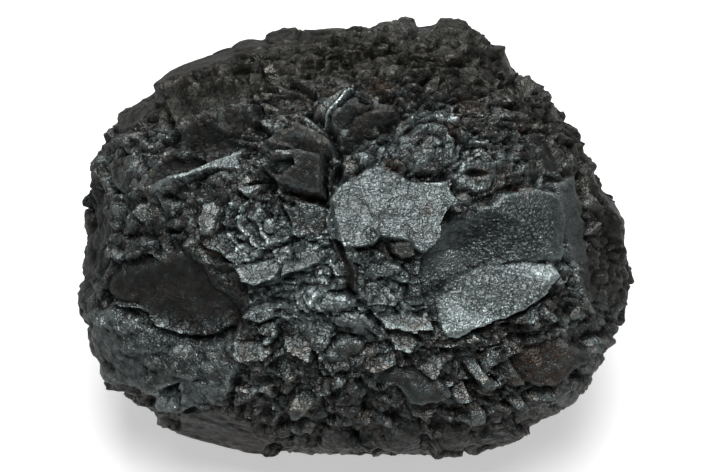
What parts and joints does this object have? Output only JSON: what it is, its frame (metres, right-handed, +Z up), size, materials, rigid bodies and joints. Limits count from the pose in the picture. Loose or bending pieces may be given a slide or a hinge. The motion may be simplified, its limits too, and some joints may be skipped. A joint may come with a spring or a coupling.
{
  "type": "siderite nodule",
  "caption": "Black siderite (ironstone) nodule with glinting facets, shell-like scoops, ledges and rubbly broken lumps, lying on a flat underside.",
  "frame": {"origin": "on the surface the stone rests on, under the middle of its bounding box", "axes": "+X along the stone's length to the right as the pictured side is seen, +Y away from that side, +Z up"},
  "size_m": [0.0923, 0.074, 0.0665],
  "materials": {
    "siderite": "black to very dark grey stone with a dull metallic sheen, rust-brown in places"
  },
  "bodies": {
    "root": {"nodule": "siderite"}
  },
  "joints": []
}
